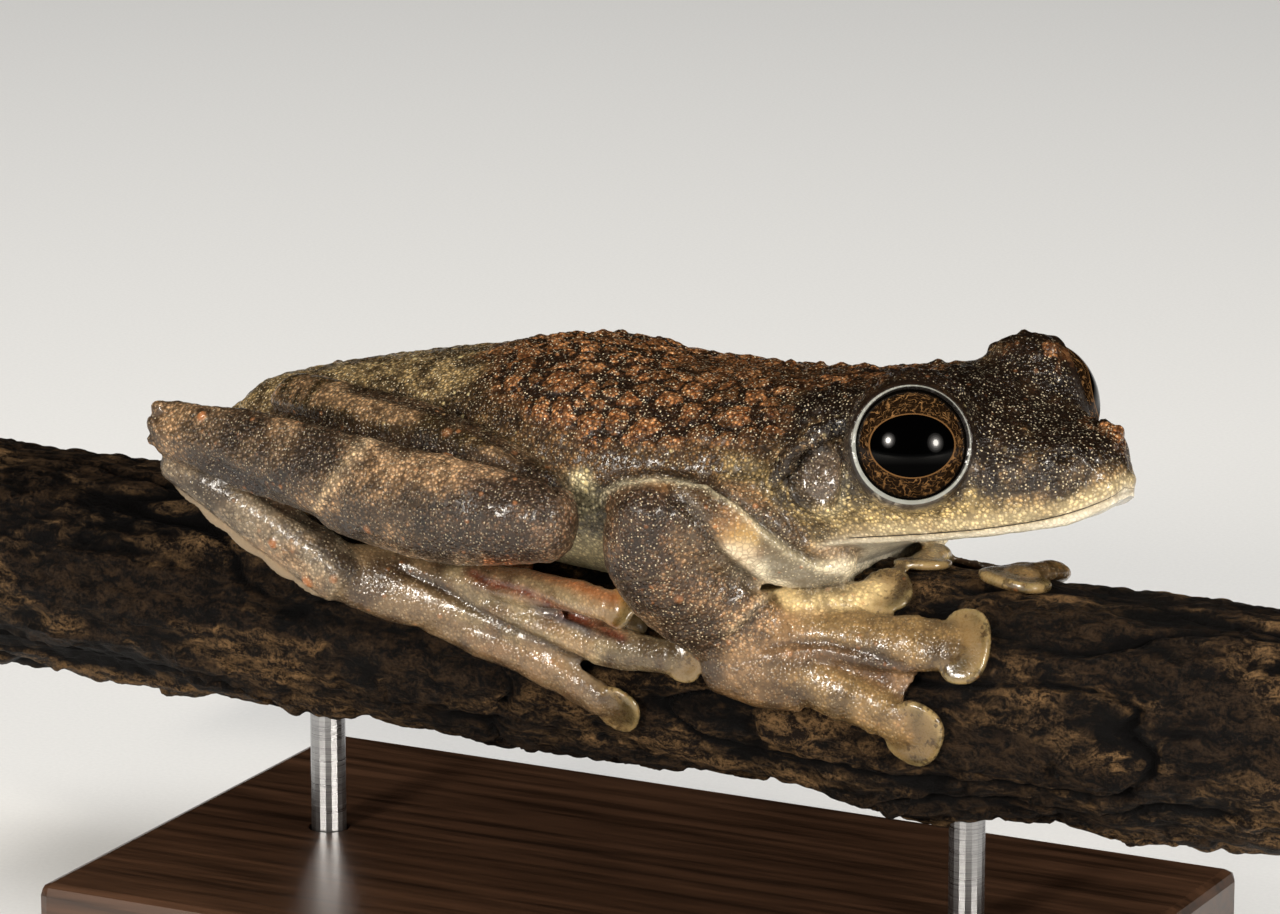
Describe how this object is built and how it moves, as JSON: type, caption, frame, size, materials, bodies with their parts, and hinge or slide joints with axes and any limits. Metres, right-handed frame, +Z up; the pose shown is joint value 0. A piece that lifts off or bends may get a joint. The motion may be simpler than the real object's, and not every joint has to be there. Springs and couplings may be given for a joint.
{
  "type": "annam flying frog model on a perch stand",
  "caption": "Life-size still model of an annam flying frog crouched on a cut length of branch, held by two short rods over a flat base.",
  "frame": {"origin": "centre of the stand's underside", "axes": "+X along the branch in the frog's forward direction, -Y the frog's right side, +Z up"},
  "size_m": [0.132, 0.05, 0.0542],
  "materials": {
    "skin_brown": "densely granular, moist rust-brown and olive skin",
    "skin_limb": "granular grey-brown skin with orange-tipped warts",
    "skin_pale": "smooth moist cream-white skin",
    "skin_digit": "smooth wet tan skin with translucent yellowish discs",
    "eye": "wet, glossy dark eye",
    "bark": "rough, cracked dark bark",
    "stand_wood": "dark stained wood, satin",
    "stand_steel": "brushed"
  },
  "bodies": {
    "root": {"head": "skin_brown", "lower_jaw": "skin_pale", "torso": "skin_brown", "eye_right": "eye", "eye_left": "eye", "upper_arm_right": "skin_limb", "upper_arm_left": "skin_limb", "forearm_right": "skin_limb", "forearm_left": "skin_limb", "hand_right": "skin_digit", "hand_left": "skin_digit", "thigh_right": "skin_limb", "thigh_left": "skin_limb", "shank_right": "skin_limb", "shank_left": "skin_limb", "tarsus_right": "skin_limb", "tarsus_left": "skin_limb", "foot_right": "skin_digit", "foot_left": "skin_digit", "perch": "bark", "stand_base": "stand_wood", "stand_rod_rear": "stand_steel", "stand_rod_front": "stand_steel"}
  },
  "joints": []
}
